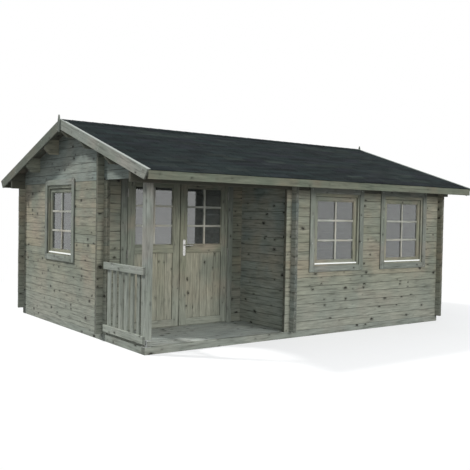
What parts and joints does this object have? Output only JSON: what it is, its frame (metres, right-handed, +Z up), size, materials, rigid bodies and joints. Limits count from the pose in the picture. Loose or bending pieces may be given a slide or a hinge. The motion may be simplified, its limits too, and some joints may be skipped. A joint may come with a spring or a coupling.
{
  "type": "log cabin",
  "caption": "Log cabin of interlocked planed logs with a recessed corner porch, a glazed double door, fixed windows and a low pitched felt roof.",
  "frame": {"origin": "on the ground at the middle of the building's outline", "axes": "+X along the ridge, porch on the -X end; -Y is the front with the porch and the front windows; +Z up"},
  "size_m": [5.59, 4.638, 2.823],
  "materials": {
    "impregnated_beams": "rough sawn, pressure impregnated, matt",
    "floor_boards": "planed, pressure impregnated, matt",
    "wall_logs": "planed, pressure impregnated, matt, knotty",
    "roof_boards": "planed, pressure impregnated, matt",
    "roof_felt": "mineral surfaced bitumen felt, matt",
    "trim_boards": "planed, pressure impregnated, matt",
    "rake_strip": "satin",
    "porch_wood": "planed, pressure impregnated, matt",
    "joinery_wood": "planed, pressure impregnated, matt",
    "panel_wood": "planed, pressure impregnated, matt",
    "pane_glass": "clear, polished",
    "drip_aluminium": "satin",
    "zinc_steel": "galvanised",
    "hinge_steel": "galvanised",
    "handle_steel": "satin"
  },
  "bodies": {
    "cabin": {"foundation_long_beams": "impregnated_beams", "foundation_cross_beams": "impregnated_beams", "floor_bearers": "impregnated_beams", "porch_floor": "floor_boards", "cabin_floor": "floor_boards", "left_wall": "wall_logs", "left_gable": "wall_logs", "right_wall": "wall_logs", "right_gable": "wall_logs", "back_wall": "wall_logs", "back_plate": "wall_logs", "front_wall": "wall_logs", "front_plate": "wall_logs", "cross_wall": "wall_logs", "door_wall_left": "wall_logs", "door_wall_right": "wall_logs", "door_wall_over": "wall_logs", "purlins": "wall_logs", "roof_boards": "roof_boards", "roof_felt": "roof_felt", "bargeboards": "trim_boards", "rake_strips": "rake_strip", "eave_boards": "trim_boards", "finials": "trim_boards", "porch_post": "porch_wood", "post_foot": "zinc_steel", "porch_railing": "porch_wood", "door_frame": "joinery_wood", "door_trims": "joinery_wood", "door_hinge_pins": "hinge_steel", "window_frames": "joinery_wood", "window_sashes": "joinery_wood", "window_glass": "pane_glass", "window_trims": "trim_boards", "window_drips": "drip_aluminium"},
    "left_leaf": {"left_leaf_frame": "joinery_wood", "left_leaf_panel": "panel_wood", "left_leaf_glass": "pane_glass", "left_leaf_hinges": "hinge_steel"},
    "right_leaf": {"right_leaf_frame": "joinery_wood", "right_leaf_panel": "panel_wood", "right_leaf_glass": "pane_glass", "right_leaf_hinges": "hinge_steel", "door_handle": "handle_steel"}
  },
  "joints": [
    {"name": "left_door_hinge", "type": "hinge", "parent": "cabin", "child": "left_leaf", "pos_m": [-2.2335, -0.883, 1.0575], "axis": [0, 0, -1], "range_deg": [0, 100]},
    {"name": "right_door_hinge", "type": "hinge", "parent": "cabin", "child": "right_leaf", "pos_m": [-0.6945, -0.883, 1.0575], "axis": [0, 0, 1], "range_deg": [0, 100]}
  ]
}
